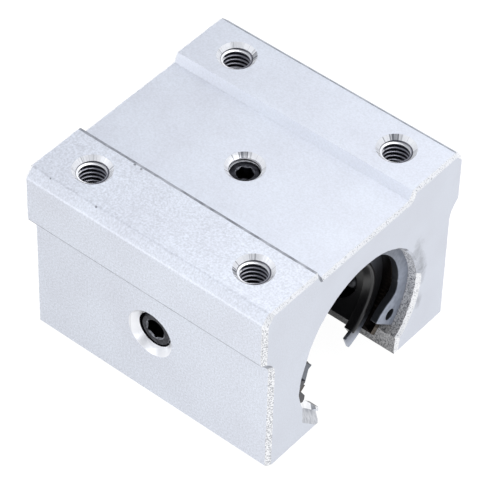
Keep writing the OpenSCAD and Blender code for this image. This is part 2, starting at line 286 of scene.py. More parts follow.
block_l = 45.0
block_w = 45.0
body_w = 41.4
face_height = 20.0
top_bevel = 1.5
step_corner = 10.25
step_lip_r = 0.7
step_root_r = 3.0
foot_edge_r = 0.8
end_bevel = 0.66
bore_bevel = 0.35
bore_r = 13.0
leg_opening = 18.0
groove_w = 21.5
groove_depth = 1.5
groove_lean = 0.75
groove_floor = face_height - groove_depth
bevel_edge_r = 0.7

leg_turn = -degrees(acos(leg_opening / 2 / bore_r))
half_corners = [
    (0, groove_floor, 0),
    (groove_w / 2 - groove_lean, groove_floor, 0.15),
    (groove_w / 2, face_height, 0),
    (block_w / 2 - top_bevel, face_height, bevel_edge_r),
    (block_w / 2, face_height - top_bevel, bevel_edge_r),
    (block_w / 2, step_corner, step_lip_r),
    (body_w / 2, step_corner - (block_w - body_w) / 2, step_root_r),
    (body_w / 2, leg_bottom, foot_edge_r),
    (leg_opening / 2, leg_bottom, 0),
    (leg_opening / 2, bore_r * sin(radians(leg_turn)), 0),
]
half_outline = rounded(half_corners)
bore_outline = arc((0, 0), bore_r, leg_turn, 180 - leg_turn, 2)[1:-1]
block_outline = half_outline[1:] + bore_outline + [(-y, z) for y, z in reversed(half_outline[1:])]

# The rim of each end face is divided finely, so that its hand-filed bevel can waver
bevel_gap = 0.65
bevel_waver = 0.14
filed_index, bore_index, shade_line_index, scraped_index = 1, 2, 3, 4
housing_mesh = bmesh.new()
prism(housing_mesh, spaced(block_outline, bevel_gap), -block_l / 2, block_l)
rims = [edge for edge in housing_mesh.edges if abs(sum(vert.co.x for vert in edge.verts)) > block_l - 0.01]
bmesh.ops.bevel(housing_mesh, geom=rims, offset=end_bevel, offset_type="OFFSET", segments=1, profile=0.5,
                affect="EDGES", material=filed_index, clamp_overlap=False)

# The bevel is narrower along the top, round the bore and between the legs. It's wider low down
# on both sides, where the front mouth of the bore has been opened out by hand. On the right the
# wall flares a little towards it.
left_widening = 1.1
right_widening = 0.75
flare_share = 0.72
top_rim_shift = 0.18
for vert in housing_mesh.verts:
    x, y, z = vert.co
    radius, turn = hypot(y, z), degrees(atan2(z, y)) % 360
    left = max(0, min(1, (turn - 165) / 25, (220 - turn) / 12)) * left_widening
    right = max(0, min(1, (turn - 302) / 16), 1 - turn / 20) * right_widening
    shift = end_bevel - bore_bevel - (max(left, right) if x > 0 else 0)
    if abs(x) < block_l / 2 - 0.01:
        if abs(radius - bore_r) < 0.01 or abs(abs(y) - leg_opening / 2) < 0.01:
            flare = right * flare_share if x > 0 else 0
            vert.co.x += (shift + flare) * copysign(1, x)
            vert.co.yz += Vector((y, z)) * flare / radius if radius < bore_r + 0.01 else Vector((flare, 0))
        elif z > groove_floor - 0.01 and abs(y) < block_w / 2 - top_bevel:
            vert.co.x += copysign(top_rim_shift, x)
    elif radius < bore_r + end_bevel + 0.01:
        vert.co.yz = Vector((y, z)) * (radius - shift) / radius
    elif abs(abs(y) - leg_opening / 2 - end_bevel) < 0.01:
        vert.co.y -= shift * copysign(1, y)
    elif z > groove_floor - end_bevel - 0.01 and abs(y) < block_w / 2 - top_bevel:
        vert.co.z += top_rim_shift
for vert in housing_mesh.verts:
    shift = noise.noise_vector(vert.co * 1.3) * bevel_waver
    if abs(vert.co.x) > block_l / 2 - 0.01:
        vert.co += Vector((0, shift.y, shift.z)) * 0.5
    else:
        vert.co.x += shift.x

# The lips of the flanges, the far top edge and the bevels in the corners take the dark line material: painted shade,
# and along the far top edge a painted dark reflection
for face in housing_mesh.faces:
    middle = face.calc_center_median()
    aside = abs(middle.y)
    turn = degrees(atan2(middle.z, middle.y)) % 360
    if face.material_index == filed_index:
        under_flange = face.normal.z < -0.3 and step_corner - 2 < middle.z < step_corner + step_lip_r
        if under_flange or (abs(middle.y + groove_w / 2 - groove_lean / 2) < 0.5 and middle.z < face_height - 0.4):
            face.material_index = shade_line_index
        elif hypot(middle.y, middle.z) < bore_r + 1.2 and 4 < turn < 100:
            face.material_index = 0
        elif hypot(middle.y, middle.z) < bore_r + 1.2 and 165 < turn < 222:
            face.material_index = scraped_index
    elif abs(middle.x) < block_l / 2 - 0.1:
        on_lip = face.normal.z < -0.1 and aside > block_w / 2 - 0.25 and abs(middle.z - step_corner) < 0.4
        on_far_edge = middle.z > face_height - 0.22 and middle.y > block_w / 2 - top_bevel - 0.3
        if hypot(middle.y, middle.z) < bore_r + 0.4 or (abs(aside - leg_opening / 2) < 0.4 and middle.z < 0):
            face.material_index = bore_index
        elif on_lip or (on_far_edge and face.normal.y > 0.1):
            face.material_index = shade_line_index

# A dark strip along the near edge of the groove, painted shade where the land drops into it, whose inner side wavers
shade_strip_width = 0.42
shade_strip_y = -groove_w / 2 - shade_strip_width
shade_strip_gap = 0.6
shade_strip_waver = 0.12
land = [face for face in housing_mesh.faces if face.normal.z > 0.99 and face.material_index == 0
        and face.calc_center_median().z > face_height - 0.01 and face.calc_center_median().y < 0]
land_parts = set(land) | {edge for face in land for edge in face.edges} | {vert for face in land for vert in face.verts}
bmesh.ops.bisect_plane(housing_mesh, geom=list(land_parts), plane_co=(0, shade_strip_y, 0), plane_no=(0, 1, 0))
strip = [face for face in housing_mesh.faces if face.normal.z > 0.99 and face.material_index == 0
         and shade_strip_y < face.calc_center_median().y < -groove_w / 2 and face.calc_center_median().z > face_height - 0.01]
for face in strip:
    face.material_index = shade_line_index
strip_side = [edge for face in strip for edge in face.edges
              if all(abs(vert.co.y - shade_strip_y) < 0.001 for vert in edge.verts)]
bmesh.ops.subdivide_edges(housing_mesh, edges=strip_side, cuts=int(block_l / shade_strip_gap))
for vert in housing_mesh.verts:
    if abs(vert.co.y - shade_strip_y) < 0.001 and abs(vert.co.x) < block_l / 2 - end_bevel - bevel_waver:
        vert.co.y += noise.noise(vert.co * 0.7) * shade_strip_waver

# Blasted aluminium: near white, with the fine matt grain that the glass beads beat into it.
# The grain is drawn at 0.3 mm, twice its real size, because a finer one doesn't show.
grain = 0.30 * MM
smudges = [(12.6, 6.4, 2.4), (13.7, 2.8, 2.6), (14.2, 0.6, 2.0), (13.7, -5.0, 1.6)]
blasted, place = new_material("bead_blasted_aluminium")
beads = add(blasted, "TexNoise", {"Vector": place, "Scale": 1 / grain, "Detail": 2.0, "Roughness": 0.6})
clouds = add(blasted, "TexNoise", {"Vector": place, "Scale": 1 / (9 * MM), "Detail": 3.0})
tone = add(blasted, "ValToRGB", {"Fac": clouds.outputs["Fac"]}, stops=[(0.3, "CED1D9"), (0.7, "D3D7DF")])
split = add(blasted, "SeparateXYZ", {"Vector": place})
speckle = add(blasted, "MapRange", {"Value": beads.outputs["Fac"], "From Min": 0.3, "From Max": 0.7,
                                    "To Min": -1.0, "To Max": 1.0})
side_grain = add(blasted, "MapRange", {"Value": split.outputs["Y"], "From Min": -11.5 * MM, "From Max": -10.5 * MM,
                                       "To Min": 0.15, "To Max": 0.08})
end_grain = add(blasted, "MapRange", {"Value": split.outputs["X"], "From Min": 22.2 * MM, "From Max": 22.4 * MM,
                                      "To Min": 1.0, "To Max": 0.4})
depth_of_grain = add(blasted, "Math", {0: side_grain.outputs["Result"], 1: end_grain.outputs["Result"]},
                     operation="MULTIPLY")
# Painted light: the blasted face is made paler towards the front end and darker towards the back, as the light falls
painted_front_light = add(blasted, "MapRange", {"Value": split.outputs["X"], "From Min": -block_l / 2 * MM,
                                        "From Max": block_l / 2 * MM, "To Min": 0.955, "To Max": 1.045})
shade = add(blasted, "Math", {0: speckle.outputs["Result"], 1: depth_of_grain.outputs["Value"],
                              2: painted_front_light.outputs["Result"]}, operation="MULTIPLY_ADD").outputs["Value"]

# Grey smudges on the front end face, where the tool that fitted the retaining ring has slipped
rubbing = add(blasted, "TexNoise", {"Vector": place, "Scale": 1 / (1.1 * MM), "Detail": 4.0, "Roughness": 0.7})
for y, z, reach in smudges:
    off_spot = add(blasted, "VectorMath", {0: place, 1: Vector((block_l / 2, y, z)) * MM}, operation="SUBTRACT")
    squeezed = add(blasted, "VectorMath", {0: off_spot.outputs["Vector"], 1: (1, 1.6, 0.8)}, operation="MULTIPLY")
    far_off = add(blasted, "VectorMath", {0: squeezed.outputs["Vector"]}, operation="LENGTH")
    ragged = add(blasted, "Math", {0: rubbing.outputs["Fac"], 1: 2 * reach * MM, 2: far_off.outputs["Value"]},
                 operation="MULTIPLY_ADD")
    clean = add(blasted, "MapRange", {"Value": ragged.outputs["Value"], "From Min": reach * MM,
                                      "From Max": 2 * reach * MM, "To Min": 0.72, "To Max": 1.0})
    shade = add(blasted, "Math", {0: shade, 1: clean.outputs["Result"]}, operation="MULTIPLY").outputs["Value"]
speckled = add(blasted, "VectorMath", {0: tone.outputs["Color"], "Scale": shade}, operation="SCALE")
matt = add(blasted, "MapRange", {"Value": beads.outputs["Fac"], "From Min": 0.3, "From Max": 0.7,
                                 "To Min": 0.50, "To Max": 0.66})
pits = add(blasted, "Bump", {"Height": beads.outputs["Fac"], "Strength": 0.45, "Distance": 0.03 * MM})
surface(blasted, Base_Color=speckled.outputs["Vector"], Metallic=0.85, Roughness=matt.outputs["Result"],
        Normal=pits.outputs["Normal"])

# Filed aluminium: the end bevels, chipped and scratched after blasting, so they glitter. They're
# cleaner along the top and round the bore.
filed, place = new_material("filed_bare_aluminium")
scratches = add(filed, "TexNoise", {"Vector": place, "Scale": 1 / (0.21 * MM), "Detail": 2.0, "Roughness": 0.6})
split_filed = add(filed, "SeparateXYZ", {"Vector": place})
off_shaft = add(filed, "VectorMath", {0: place, 1: (0, 1, 1)}, operation="MULTIPLY")
shaft_distance = add(filed, "VectorMath", {0: off_shaft.outputs["Vector"]}, operation="LENGTH")
clean_top = add(filed, "MapRange", {"Value": split_filed.outputs["Z"], "From Min": 17.5 * MM, "From Max": 18 * MM,
                                    "To Min": 0, "To Max": 0.08})
clean_mouth = add(filed, "MapRange", {"Value": shaft_distance.outputs["Value"], "From Min": 15.5 * MM,
                                      "From Max": 16.5 * MM, "To Min": 0.08, "To Max": 0})
cleaner = add(filed, "Math", {0: clean_top.outputs["Result"], 1: clean_mouth.outputs["Result"]}, operation="ADD")
chipped = add(filed, "Math", {0: scratches.outputs["Fac"], 1: cleaner.outputs["Value"]}, operation="ADD")
chips = add(filed, "ValToRGB", {"Fac": chipped.outputs["Value"]}, stops=[(0.36, "A2A4AA"), (0.56, "F2F3F5")])
glint = add(filed, "MapRange", {"Value": scratches.outputs["Fac"], "From Min": 0.35, "From Max": 0.65,
                                "To Min": 0.50, "To Max": 0.32})
burrs = add(filed, "Bump", {"Height": scratches.outputs["Fac"], "Strength": 0.6, "Distance": 0.06 * MM})
surface(filed, Base_Color=chips.outputs["Color"], Metallic=0.75, Roughness=glint.outputs["Result"],
        Normal=burrs.outputs["Normal"])

# Scraped aluminium: the opened-out mouth of the bore low on the left, bright and nearly smooth
scraped, place = new_material("scraped_bare_aluminium")
scrape = add(scraped, "TexNoise", {"Vector": place, "Scale": 1 / (0.8 * MM), "Detail": 2.0})
scrape_tone = add(scraped, "ValToRGB", {"Fac": scrape.outputs["Fac"]}, stops=[(0.35, "ECEDF0"), (0.65, "FAFAFC")])
surface(scraped, Base_Color=scrape_tone.outputs["Color"], Metallic=0.8, Roughness=0.3)

# Ground aluminium: the slanting cut on the leg, greyer than the blasted face and streaked upwards
ground, place = new_material("ground_aluminium")
stretched = add(ground, "VectorMath", {0: place, 1: (1, 1, 0.2)}, operation="MULTIPLY").outputs["Vector"]
streaks = add(ground, "TexNoise", {"Vector": stretched, "Scale": 1 / (0.4 * MM), "Detail": 3.0})
streak_tone = add(ground, "ValToRGB", {"Fac": streaks.outputs["Fac"]}, stops=[(0.35, "AEB1B8"), (0.6, "CFD1D6")])
surface(ground, Base_Color=streak_tone.outputs["Color"], Metallic=0.8, Roughness=0.45)

# The bore is blasted too, but its grain stands out because only grazing light reaches it.
# Towards the middle and the feet it's darker: painted shade, deeper in the bore and lower down.
bore_finish, place = new_material("blasted_bore_aluminium")
craters = add(bore_finish, "TexNoise", {"Vector": place, "Scale": 1 / (0.22 * MM), "Detail": 2.0, "Roughness": 0.6})
crater_tone = add(bore_finish, "ValToRGB", {"Fac": craters.outputs["Fac"]}, stops=[(0.36, "7E8087"), (0.56, "FDFDFF")])
along = add(bore_finish, "SeparateXYZ", {"Vector": place})
from_middle = add(bore_finish, "Math", {0: along.outputs["X"]}, operation="ABSOLUTE")
painted_deep_shade = add(bore_finish, "MapRange", {"Value": from_middle.outputs["Value"], "From Min": 12 * MM, "From Max": 20 * MM,
                                     "To Min": 0.12, "To Max": 1.0})
painted_low_shade = add(bore_finish, "MapRange", {"Value": along.outputs["Z"], "From Min": -13 * MM, "From Max": 2 * MM,
                                      "To Min": 0.34, "To Max": 1.0})
painted_bore_shade = add(bore_finish, "Math", {0: painted_deep_shade.outputs["Result"], 1: painted_low_shade.outputs["Result"]}, operation="MULTIPLY")
bore_shaded_tone = add(bore_finish, "VectorMath", {0: crater_tone.outputs["Color"], "Scale": painted_bore_shade.outputs["Value"]},
            operation="SCALE")
crater_bump = add(bore_finish, "Bump", {"Height": craters.outputs["Fac"], "Strength": 0.7, "Distance": 0.08 * MM})
surface(bore_finish, Base_Color=bore_shaded_tone.outputs["Vector"], Metallic=0.3, Roughness=0.48,
        Normal=crater_bump.outputs["Normal"])

# Dark line aluminium: painted shade drawn as thin grey lines along edges and corners; in the nicks it stands for the
# dust they hold
dust_and_shade_line, place = new_material("dust_and_painted_shade_aluminium")
dust = add(dust_and_shade_line, "TexNoise", {"Vector": place, "Scale": 1 / (1.5 * MM), "Detail": 3.0})
dust_and_shade_tone = add(dust_and_shade_line, "ValToRGB", {"Fac": dust.outputs["Fac"]}, stops=[(0.35, "7E8188"), (0.65, "A6A9B0")])
surface(dust_and_shade_line, Base_Color=dust_and_shade_tone.outputs["Color"], Metallic=0.7, Roughness=0.5)

housing = piece("housing_dressed", housing_mesh, blasted, filed, bore_finish, dust_and_shade_line, scraped)

# Holes: M5 x 0.8 in the mounting face and the groove, M6 x 1 in the side
hole_pitch_x = 30.0
hole_pitch_y = 32.0
thread_r = 2.5
root_r = 2.1
thread_pitch = 0.8
hole_depth = 12.0
mouth_bevel = 0.55
side_thread_r = 3.0
side_mouth_bevel = 1.1
side_face = body_w / 2
top_screw_z = groove_floor - 1.3
overrun = 0.5
hole_centres = [(x * hole_pitch_x / 2, y * hole_pitch_y / 2) for x in (-1, 1) for y in (-1, 1)]


def from_nearest_hole(material, place):
    """Where a point lies from the axis of the nearest hole in the top, and how far off that is."""
    level = add(material, "VectorMath", {0: place, 1: (1, 1, 0)}, operation="MULTIPLY").outputs["Vector"]
    folded = add(material, "VectorMath", {0: level}, operation="ABSOLUTE").outputs["Vector"]
    corner = Vector((hole_pitch_x / 2, hole_pitch_y / 2, 0)) * MM
    aside = add(material, "VectorMath", {0: folded, 1: corner}, operation="SUBTRACT").outputs["Vector"]
    aside_r = add(material, "VectorMath", {0: aside}, operation="LENGTH").outputs["Value"]
    level_r = add(material, "VectorMath", {0: level}, operation="LENGTH").outputs["Value"]
    is_aside = add(material, "Math", {0: aside_r, 1: level_r}, operation="LESS_THAN").outputs["Value"]
    is_middle = add(material, "Math", {0: 1, 1: is_aside}, operation="SUBTRACT").outputs["Value"]
    part_aside = add(material, "VectorMath", {0: aside, "Scale": is_aside}, operation="SCALE").outputs["Vector"]
    part_middle = add(material, "VectorMath", {0: level, "Scale": is_middle}, operation="SCALE").outputs["Vector"]
    nearest = add(material, "VectorMath", {0: part_aside, 1: part_middle}, operation="ADD").outputs["Vector"]
    return nearest, add(material, "Math", {0: aside_r, 1: level_r}, operation="MINIMUM").outputs["Value"]


# Tapped aluminium: bright crests and dark roots, the roots' darkness painted shade. It comes in two
# copies: the first turns of each thread painted lit, as a white ring, the deeper ones painted in shade.
tapped_lit_and_shaded = []
for name, metal_share, tooth_stops in (
        ("tapped_aluminium", 0.9, [(0.05, "A4A5AE"), (0.45, "50505A"), (0.8, "1E1E25")]),
        ("tapped_aluminium_painted_lit", 0.3, [(0.66, "F4F5F8"), (0.90, "2E2E35")])):
    tapped, place = new_material(name)
    nearest, off_axis = from_nearest_hole(tapped, place)
    tooth_share = add(tapped, "MapRange", {"Value": off_axis, "From Min": root_r * MM, "From Max": thread_r * MM})
    tooth_tone = add(tapped, "ValToRGB", {"Fac": tooth_share.outputs["Result"]}, stops=tooth_stops)
    swarf = add(tapped, "TexNoise", {"Vector": place, "Scale": 1 / (0.25 * MM), "Detail": 2.0})
    tool_bump = add(tapped, "Bump", {"Height": swarf.outputs["Fac"], "Strength": 0.4, "Distance": 0.03 * MM})
    tapped_lit_and_shaded.append(surface(tapped, Base_Color=tooth_tone.outputs["Color"], Metallic=metal_share,
                                   Roughness=0.34, Normal=tool_bump.outputs["Normal"]))

# Countersunk mouths: bright cones with the fine spokes that a chattering cutter leaves
countersunk, place = new_material("countersunk_aluminium")
nearest, off_axis = from_nearest_hole(countersunk, place)
spoke_place = add(countersunk, "VectorMath", {0: nearest}, operation="NORMALIZE").outputs["Vector"]
spokes = add(countersunk, "TexNoise", {"Vector": spoke_place, "Scale": 9.0, "Detail": 3.0, "Roughness": 0.7})
# Painted dark reflection: each cone is darkened on its far side from the camera, which faces the camera
far_side = Vector((-to_camera.x, -to_camera.y, 0)).normalized()
toward_far_side = add(countersunk, "VectorMath", {0: spoke_place, 1: far_side}, operation="DOT_PRODUCT")
painted_dark_reflection = add(countersunk, "MapRange", {"Value": toward_far_side.outputs["Value"], "From Min": 0.86, "From Max": 0.98,
                                              "To Min": 0, "To Max": -0.13})
deeper = add(countersunk, "Math", {0: spokes.outputs["Fac"], 1: painted_dark_reflection.outputs["Result"]}, operation="ADD")
spoke_tone = add(countersunk, "ValToRGB", {"Fac": deeper.outputs["Value"]}, stops=[(0.30, "74777E"), (0.44, "F0F1F4")])
spoke_bump = add(countersunk, "Bump", {"Height": spokes.outputs["Fac"], "Strength": 0.8, "Distance": 0.10 * MM})
# Painted shade: the upper part of the side hole's cone is darker
upwards = add(countersunk, "VectorMath", {0: place, 1: (-0.5, 0, 0.87)}, operation="DOT_PRODUCT")
upper_part = add(countersunk, "MapRange", {"Value": upwards.outputs["Value"], "From Min": 3.2 * MM,
                                           "From Max": 3.8 * MM})
mouth_split = add(countersunk, "SeparateXYZ", {"Vector": place})
in_side = add(countersunk, "MapRange", {"Value": mouth_split.outputs["Y"], "From Min": -19.3 * MM,
                                        "From Max": -19.0 * MM, "To Min": -0.3, "To Max": 0})
side_shade = add(countersunk, "Math", {0: upper_part.outputs["Result"], 1: in_side.outputs["Result"], 2: 1.0},
                 operation="MULTIPLY_ADD")
mouth_tone = add(countersunk, "VectorMath", {0: spoke_tone.outputs["Color"], "Scale": side_shade.outputs["Value"]},
                 operation="SCALE")
surface(countersunk, Base_Color=mouth_tone.outputs["Vector"], Metallic=0.7, Roughness=0.36,
        Normal=spoke_bump.outputs["Normal"])

painted_lit_depth = 1.7
tap = bmesh.new()
helix(tap, root_r, thread_r, thread_pitch, -hole_depth, overrun)
# The first turns take the painted-lit copy, the deeper ones the painted-shade copy
for face in tap.faces:
    face.material_index = 1 if face.calc_center_median().z > -painted_lit_depth else 0
taps = bmesh.new()
for x, y in hole_centres:
    merge(taps, tap.copy(), Matrix.Translation((x, y, face_height)))
tap.free()
short_tap = bmesh.new()
middle_hole_r = 2.33
helix(short_tap, middle_hole_r, middle_hole_r + 0.05, thread_pitch, top_screw_z, groove_floor + overrun)
for face in short_tap.faces:
    face.material_index = 1
merge(taps, short_tap, Matrix.Identity(4))
combine(housing, piece("taps", taps, *tapped_lit_and_shaded))


def drill(bm, radius, throat_r, mouth_r, depth, transform):
    """The plain part of a hole: a bevelled mouth down to its throat, a clear wall and the drill's point."""
    bevel = mouth_r - throat_r
    tool = bmesh.new()
    turned(tool, [(0, -depth - radius * 0.6), (radius, -depth), (radius, -bevel - 0.02), (throat_r, -bevel),
                  (mouth_r, 0), (mouth_r + overrun, overrun), (0, overrun)])
    for face in tool.faces:
        middle = face.calc_center_median()
        if middle.z > -bevel and hypot(middle.x, middle.y) > throat_r:
            face.material_index = 2
    merge(bm, tool, transform)


throat_r = 2.4
drills = bmesh.new()
for x, y in hole_centres:
    drill(drills, root_r, throat_r, thread_r + mouth_bevel, hole_depth, Matrix.Translation((x, y, face_height)))
drill(drills, middle_hole_r, throat_r, thread_r + mouth_bevel, groove_floor, Matrix.Translation((0, 0, groove_floor)))
drill(drills, side_thread_r, side_thread_r + 0.01, side_thread_r + side_mouth_bevel, side_face,
      Matrix.Translation((0, -side_face, 0)) @ Matrix.Rotation(pi / 2, 4, "X"))
combine(housing, piece("drills", drills, *tapped_lit_and_shaded, countersunk))

# A plain clear hole behind the top set screw, and the retaining rings' grooves
clip_seat_r = 13.6
clip_groove_w = 1.24
clip_groove_x = 19.89
reamers = bmesh.new()
bmesh.ops.create_cone(reamers, cap_ends=True, segments=96, radius1=thread_r, radius2=thread_r, depth=8,
                      matrix=Matrix.Translation((0, 0, top_screw_z - 4)))
for end in (-1, 1):
    bmesh.ops.create_cone(reamers, cap_ends=True, segments=180, radius1=clip_seat_r, radius2=clip_seat_r,
                          depth=clip_groove_w,
                          matrix=Matrix.Translation((end * clip_groove_x, 0, 0)) @ Matrix.Rotation(pi / 2, 4, "Y"))
combine(housing, piece("reamers", reamers, bore_finish))

# A slanting cut across the tip of the left leg. Its corners are given along and across its upper edge.
tip_start = Vector((0, -13.07, -9.16))
along_cut = Vector((0, 0.711, -0.703))
across_cut = Vector((0, 0.703, 0.711))
cut_fall = 0.4
tip_cut = bmesh.new()
for along_mm, across_mm in ((0.33, -0.3), (-2.4, 2.2), (8, 2.2), (8, -0.3)):
    corner = tip_start + along_cut * along_mm + across_cut * across_mm
    for x in (block_l / 2 - cut_fall * across_mm, block_l / 2 + overrun):
        tip_cut.verts.new(corner + Vector((x, 0, 0)))
bmesh.ops.convex_hull(tip_cut, input=tip_cut.verts)
combine(housing, piece("tip_cut", tip_cut, ground))

# Nicks from handling, as small hollows with dust in them: place and radius
nicks = bmesh.new()
for x, y, z, radius in ((-11.09, -11.35, 20.08, 0.23), (-9.83, -11.42, 20.07, 0.23), (-9.71, -21.3, 20.0, 0.30),
                        (-18.37, -21.35, 20.0, 0.30), (8.95, -20.85, 8.19, 0.25), (11.17, -20.85, 8.31, 0.22),
                        (13.93, -20.85, 8.62, 0.22)):
    bmesh.ops.create_icosphere(nicks, subdivisions=2, radius=radius, matrix=Matrix.Translation((x, y, z)))
combine(housing, piece("nicks", nicks, dust_and_shade_line))

# Two dark burrs that stand on the opened-out mouth of the bore, on the left
burr_face = 22.3
long_burr = [(-13.9, 0.28), (-12.56, -0.6), (-13.04, -1.21), (-14.1, -1.7)]
round_burr = [(-14.3, -1.9), (-13.26, -2.62), (-12.59, -3.75), (-12.64, -4.44), (-12.98, -4.86), (-13.51, -4.69),
              (-14.3, -4.15)]
burrs_left = bmesh.new()
for outline in (long_burr, round_burr):
    prism(burrs_left, outline, burr_face - 1.3, 1.3)
combine(housing, piece("burrs", burrs_left, tapped_lit_and_shaded[1]), "UNION")
smooth(housing)
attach(housing, "block")
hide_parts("housing")


# Set screws: turned and rolled steel with a broached hexagon socket, black oxide finish
def screw(name, radius, root, pitch, length, socket_w, socket_depth, material, lead_material):
    """A headless screw that hangs from its socketed end at height 0."""
    bevel = 0.10 * radius
    corner_r = socket_w / sqrt(3)
    lead_h = min(socket_w * 0.07, (radius - bevel - corner_r) / 2)
    blank = bmesh.new()
    turned(blank, [(0, -length), (radius - 3 * bevel, -length), (radius + 0.01, -length + 3 * bevel),
                   (radius + 0.01, -bevel), (radius - bevel, 0), (0, 0)])
    for face in blank.faces:
        # The outer chamfer takes the pale material as a painted highlight
        face.material_index = 1 if -bevel < face.calc_center_median().z < -0.01 else 0
    thing = piece(name, blank, material, lead_material)
    broach = bmesh.new()
    bmesh.ops.create_cone(broach, cap_ends=True, segments=6, radius1=corner_r, radius2=corner_r,
                          depth=socket_depth + overrun,
                          matrix=Matrix.Translation((0, 0, (overrun - socket_depth) / 2)))
    combine(thing, piece("broach", broach, material))
    lead = bmesh.new()
    turned(lead, [(0, -socket_depth - socket_w * 0.3), (socket_w * 0.46, -socket_depth + 0.05),
                  (socket_w * 0.46, -2 * lead_h), (socket_w / 2 - 0.02, -lead_h - 0.02),
                  (corner_r + lead_h + overrun, overrun), (0, overrun)])
    for face in lead.faces:
        face.material_index = 1 if face.calc_center_median().z > -lead_h else 0
    combine(thing, piece("lead", lead, material, lead_material))
    body = bmesh.new()
    helix(body, root, radius, pitch, -length - 0.3, 0.3)
    combine(thing, piece("body", body, material), "INTERSECT")
    return thing


# Black oxide on steel: a thin dark film that still shines, rubbed grey where the key has turned
black_steel, place = new_material("black_oxide_steel")
wear = add(black_steel, "TexNoise", {"Vector": place, "Scale": 1 / (0.6 * MM), "Detail": 4.0})
wear_tone = add(black_steel, "ValToRGB", {"Fac": wear.outputs["Fac"]}, stops=[(0.35, "202024"), (0.75, "48494F")])
wear_bump = add(black_steel, "Bump", {"Height": wear.outputs["Fac"], "Strength": 0.3, "Distance": 0.03 * MM})
surface(black_steel, Base_Color=wear_tone.outputs["Color"], Metallic=1.0, Roughness=0.30,
        Normal=wear_bump.outputs["Normal"])

# Bare steel shows as a pale ring where the key has worn the oxide off the socket's mouth; on the outer chamfer the same
# pale finish is a painted highlight
wear_and_painted_highlight_steel, place = new_material("oxide_steel_wear_and_painted_highlight")
rub = add(wear_and_painted_highlight_steel, "TexNoise", {"Vector": place, "Scale": 1 / (0.4 * MM), "Detail": 3.0})
rub_tone = add(wear_and_painted_highlight_steel, "ValToRGB", {"Fac": rub.outputs["Fac"]}, stops=[(0.35, "3A3B40"), (0.6, "7C7E84")])
surface(wear_and_painted_highlight_steel, Base_Color=rub_tone.outputs["Color"], Metallic=1.0, Roughness=0.34)

screw_fit = 0.05
dog_r = 1.6
dog_tip_z = 12.18
dog_shoulder_z = 13.3
top_screw = screw("top_set_screw_dressed", thread_r - screw_fit, 2.02, thread_pitch, top_screw_z - dog_shoulder_z,
                  2.5, 2.2, black_steel, wear_and_painted_highlight_steel)
top_screw.data.transform(Matrix.Translation((0, 0, top_screw_z * MM)))
dog = bmesh.new()
turned(dog, [(0, dog_tip_z), (dog_r - 0.2, dog_tip_z), (dog_r, dog_tip_z + 0.2), (dog_r, dog_shoulder_z + 0.1),
             (0, dog_shoulder_z + 0.1)])
combine(top_screw, piece("dog", dog, black_steel), "UNION")
smooth(top_screw)
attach(top_screw, "top_screw")
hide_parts("top_set_screw")

side_screw_y = side_face - 1.1
side_tip_y = 13.28
side_screw = screw("side_set_screw_dressed", side_thread_r - screw_fit, 2.42, 1.0, side_screw_y - side_tip_y, 3.0, 3.0,
                   black_steel, wear_and_painted_highlight_steel)
side_screw.data.transform(Matrix.Translation((0, -side_screw_y * MM, 0)) @ Matrix.Rotation(pi / 2, 4, "X"))
smooth(side_screw)
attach(side_screw, "side_screw")
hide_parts("side_set_screw")


# Retaining rings: stamped from spring steel strip, with a tool hole in the lug at each end.
# They sit in the bore's grooves and hold the bush. Stamping rounds their edges.
def soften(thing, width, sharp_above=40):
    """Rounds every real edge of an object."""
    modifier = thing.modifiers.new("rounded_edges", "BEVEL")
    modifier.width = width * MM
    modifier.segments = 2
    modifier.limit_method = "ANGLE"
    modifier.angle_limit = radians(sharp_above)
    settle(thing)


def angle_of(y, z):
    return degrees(atan2(z, y))


# Phosphated spring steel: a blue-grey coat, with painted shade on its edges, at the top and on the left
clip_steel, place = new_material("phosphated_spring_steel")
grey = add(clip_steel, "TexNoise", {"Vector": place, "Scale": 1 / (0.7 * MM), "Detail": 4.0})
grey_tone = add(clip_steel, "ValToRGB", {"Fac": grey.outputs["Fac"]}, stops=[(0.3, "858C9A"), (0.7, "A0A7B5")])
clip_place = add(clip_steel, "SeparateXYZ", {"Vector": place})
painted_top_shade = add(clip_steel, "MapRange", {"Value": clip_place.outputs["Z"], "From Min": 1 * MM, "From Max": 11 * MM,
                                        "To Min": 1.0, "To Max": 0.35})
painted_left_shade = add(clip_steel, "MapRange", {"Value": clip_place.outputs["Y"], "From Min": -9 * MM, "From Max": -5 * MM,
                                         "To Min": 0.4, "To Max": 1.0})
clip_depth = add(clip_steel, "Math", {0: clip_place.outputs["X"]}, operation="ABSOLUTE")
painted_edge_shade = add(clip_steel, "MapRange", {"Value": clip_depth.outputs["Value"], "From Min": 20.30 * MM,
                                         "From Max": 20.44 * MM, "To Min": 0.10, "To Max": 1.0})
painted_top_left_shade = add(clip_steel, "Math", {0: painted_top_shade.outputs["Result"], 1: painted_left_shade.outputs["Result"]},
               operation="MULTIPLY")
painted_clip_shade = add(clip_steel, "Math", {0: painted_top_left_shade.outputs["Value"], 1: painted_edge_shade.outputs["Result"]},
                 operation="MULTIPLY")
shaded_clip_grey = add(clip_steel, "VectorMath", {0: grey_tone.outputs["Color"], "Scale": painted_clip_shade.outputs["Value"]},
                 operation="SCALE")
grey_bump = add(clip_steel, "Bump", {"Height": grey.outputs["Fac"], "Strength": 0.2, "Distance": 0.02 * MM})
surface(clip_steel, Base_Color=shaded_clip_grey.outputs["Vector"], Metallic=0.45, Roughness=0.4,
        Normal=grey_bump.outputs["Normal"])

clip_in = 19.29
clip_t = 1.2
clip_r = 13.56
clip_inner_r = 11.21
lug_r = 2.9
lug_centre_r = 11.1
lug_hole_r = 11.4
lug_hole_radius = 1.0
lug_blend_r = 4.0
lug_angle = 66.5
clip_gap_half_angle = 58.0
slot_middle = -90.0

